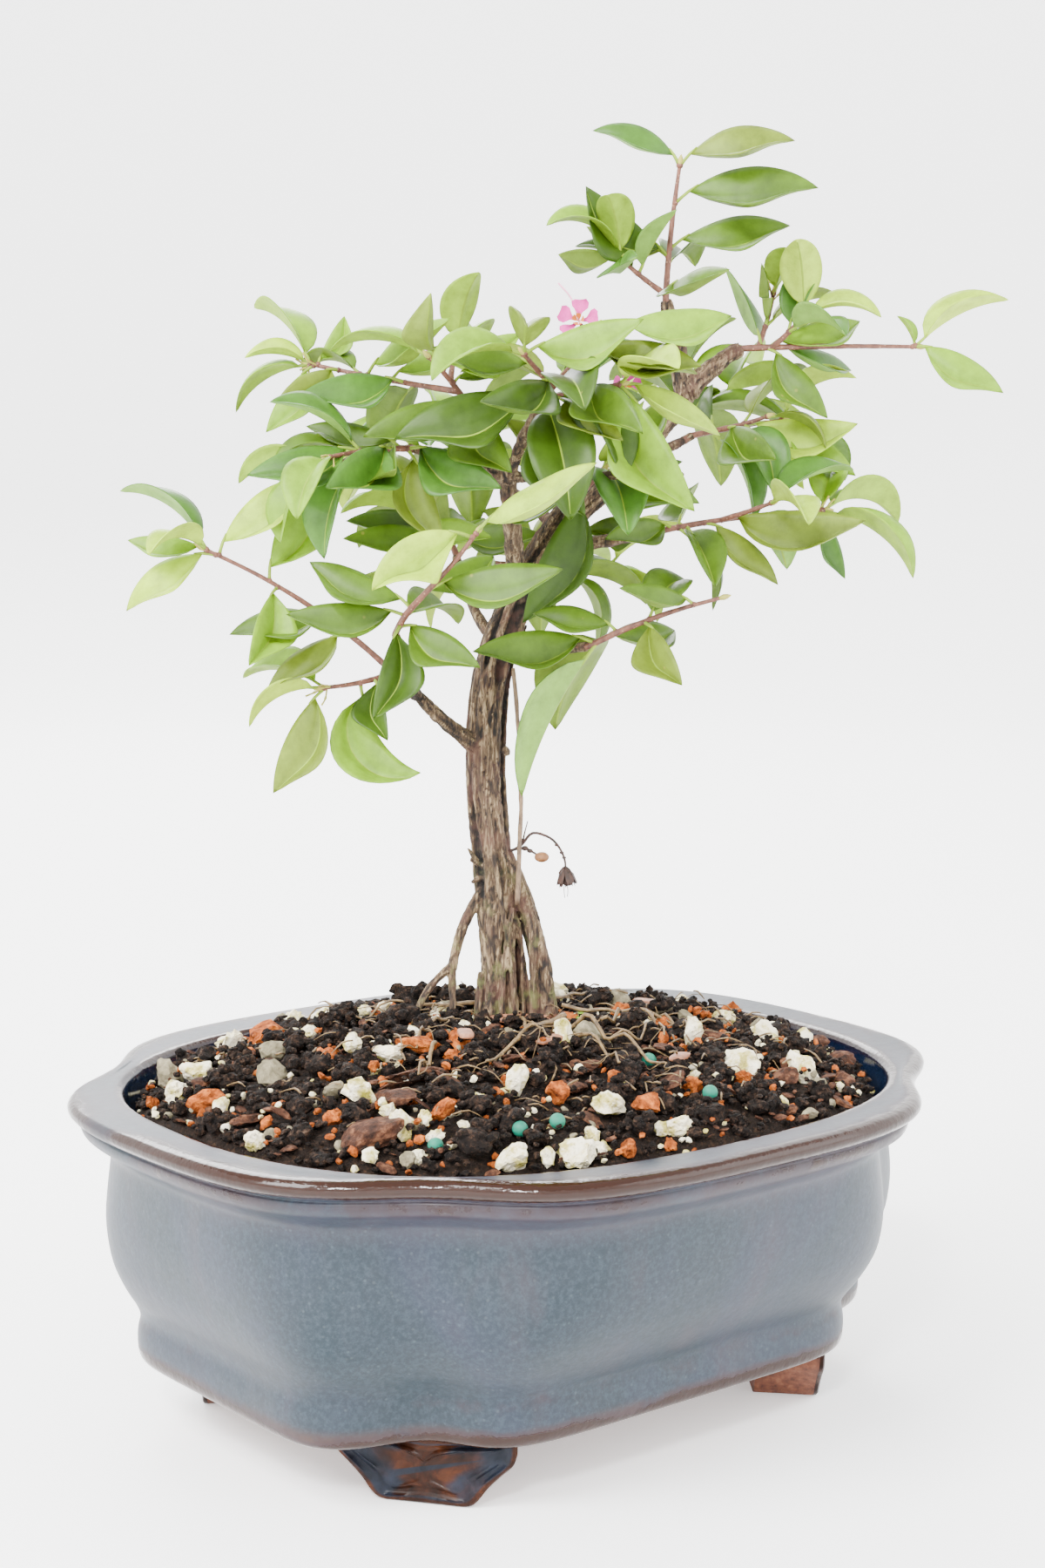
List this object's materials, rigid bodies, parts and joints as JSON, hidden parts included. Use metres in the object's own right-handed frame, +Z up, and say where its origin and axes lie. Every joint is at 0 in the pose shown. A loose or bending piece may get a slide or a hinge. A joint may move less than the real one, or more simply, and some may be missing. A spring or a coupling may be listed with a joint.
{
  "type": "barbados cherry bonsai",
  "caption": "Small flowering bonsai with arching oval leaves and prop roots, in a glazed footed pot with dented corners, filled with mixed gritty soil.",
  "frame": {"origin": "middle of the whole outline's box at the level of the feet's undersides", "axes": "+X along the pot's long side, +Y across the pot, +Z up from the table"},
  "size_m": [0.2121, 0.1804, 0.2984],
  "materials": {
    "glaze": "gloss",
    "foot_clay": "satin",
    "soil": "matte",
    "bark": "matte",
    "leaf": "satin"
  },
  "bodies": {
    "root": {"pot": "glaze", "foot_right_back": "foot_clay", "foot_left_back": "foot_clay", "foot_left_front": "foot_clay", "foot_right_front": "foot_clay", "soil": "soil", "trunk": "bark", "prop_root_left": "bark", "aerial_root": "bark", "bough_low_left": "bark", "bough_front": "bark", "bough_low_right": "bark", "bough_mid_left": "bark", "bough_inner": "bark", "bough_upper_left": "bark", "bough_left": "bark", "bough_top_front": "bark", "bough_right_bare": "bark", "bough_mid_right": "bark", "bough_back_low": "bark", "bough_back_left": "bark", "bough_back_right": "bark", "bough_centre": "bark", "bough_upper_right": "bark", "bough_right_fork": "bark", "bough_apex": "bark", "foliage_apex": "leaf", "foliage_right_top": "leaf", "foliage_right_upper": "leaf", "foliage_right_mid": "leaf", "foliage_right_low": "leaf", "foliage_top_front": "leaf", "foliage_upper_left": "leaf", "foliage_left": "leaf", "foliage_front": "leaf", "foliage_left_low": "leaf", "foliage_mid_left": "leaf", "foliage_centre": "leaf", "foliage_back_low": "leaf", "foliage_back_left": "leaf", "foliage_back_right": "leaf"}
  },
  "joints": []
}
